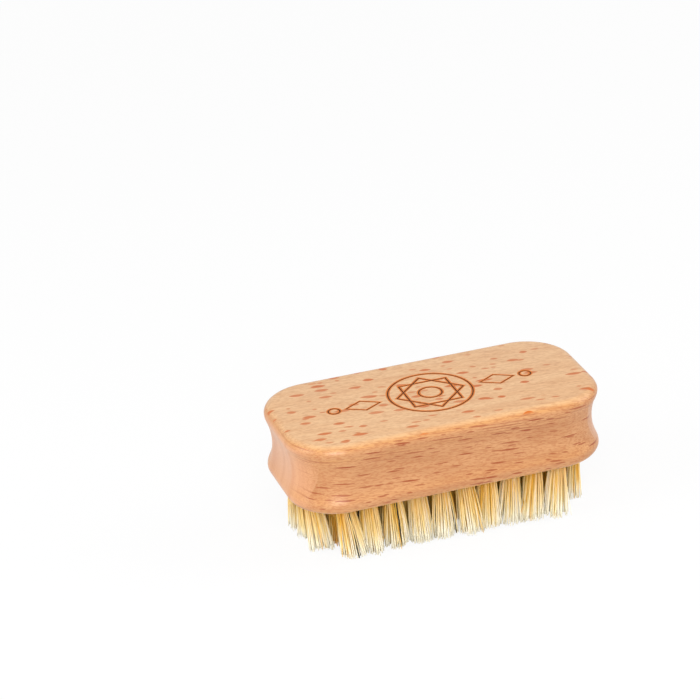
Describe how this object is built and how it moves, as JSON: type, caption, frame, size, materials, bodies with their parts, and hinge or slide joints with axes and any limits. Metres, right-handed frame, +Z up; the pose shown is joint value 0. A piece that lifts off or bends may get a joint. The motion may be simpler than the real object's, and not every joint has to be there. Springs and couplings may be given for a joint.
{
  "type": "nail brush",
  "caption": "Hand-held nail brush: pale wooden block with rounded corners and a concave finger grip, set with straight rows of stiff plant-fibre tufts.",
  "frame": {"origin": "centre of the surface that the trimmed bristle tips stand on", "axes": "+X along the block, +Y across it, +Z up from the tips to the block's flat top"},
  "size_m": [0.095, 0.047, 0.039],
  "materials": {
    "beech": "fine sanded, satin",
    "plant_fibre": "matt natural fibre, cream to straw, with an odd dark strand",
    "anchor_steel": "bright flat wire"
  },
  "bodies": {
    "root": {"brush_block": "beech", "tuft_anchors": "anchor_steel", "tuft_row1_01": "plant_fibre", "tuft_row1_02": "plant_fibre", "tuft_row1_03": "plant_fibre", "tuft_row1_04": "plant_fibre", "tuft_row1_05": "plant_fibre", "tuft_row1_06": "plant_fibre", "tuft_row1_07": "plant_fibre", "tuft_row1_08": "plant_fibre", "tuft_row1_09": "plant_fibre", "tuft_row1_10": "plant_fibre", "tuft_row2_01": "plant_fibre", "tuft_row2_02": "plant_fibre", "tuft_row2_03": "plant_fibre", "tuft_row2_04": "plant_fibre", "tuft_row2_05": "plant_fibre", "tuft_row2_06": "plant_fibre", "tuft_row2_07": "plant_fibre", "tuft_row2_08": "plant_fibre", "tuft_row2_09": "plant_fibre", "tuft_row2_10": "plant_fibre", "tuft_row2_11": "plant_fibre", "tuft_row2_12": "plant_fibre", "tuft_row3_01": "plant_fibre", "tuft_row3_02": "plant_fibre", "tuft_row3_03": "plant_fibre", "tuft_row3_04": "plant_fibre", "tuft_row3_05": "plant_fibre", "tuft_row3_06": "plant_fibre", "tuft_row3_07": "plant_fibre", "tuft_row3_08": "plant_fibre", "tuft_row3_09": "plant_fibre", "tuft_row3_10": "plant_fibre", "tuft_row3_11": "plant_fibre", "tuft_row3_12": "plant_fibre", "tuft_row4_01": "plant_fibre", "tuft_row4_02": "plant_fibre", "tuft_row4_03": "plant_fibre", "tuft_row4_04": "plant_fibre", "tuft_row4_05": "plant_fibre", "tuft_row4_06": "plant_fibre", "tuft_row4_07": "plant_fibre", "tuft_row4_08": "plant_fibre", "tuft_row4_09": "plant_fibre", "tuft_row4_10": "plant_fibre", "tuft_row4_11": "plant_fibre", "tuft_row4_12": "plant_fibre", "tuft_row5_01": "plant_fibre", "tuft_row5_02": "plant_fibre", "tuft_row5_03": "plant_fibre", "tuft_row5_04": "plant_fibre", "tuft_row5_05": "plant_fibre", "tuft_row5_06": "plant_fibre", "tuft_row5_07": "plant_fibre", "tuft_row5_08": "plant_fibre", "tuft_row5_09": "plant_fibre", "tuft_row5_10": "plant_fibre"}
  },
  "joints": []
}
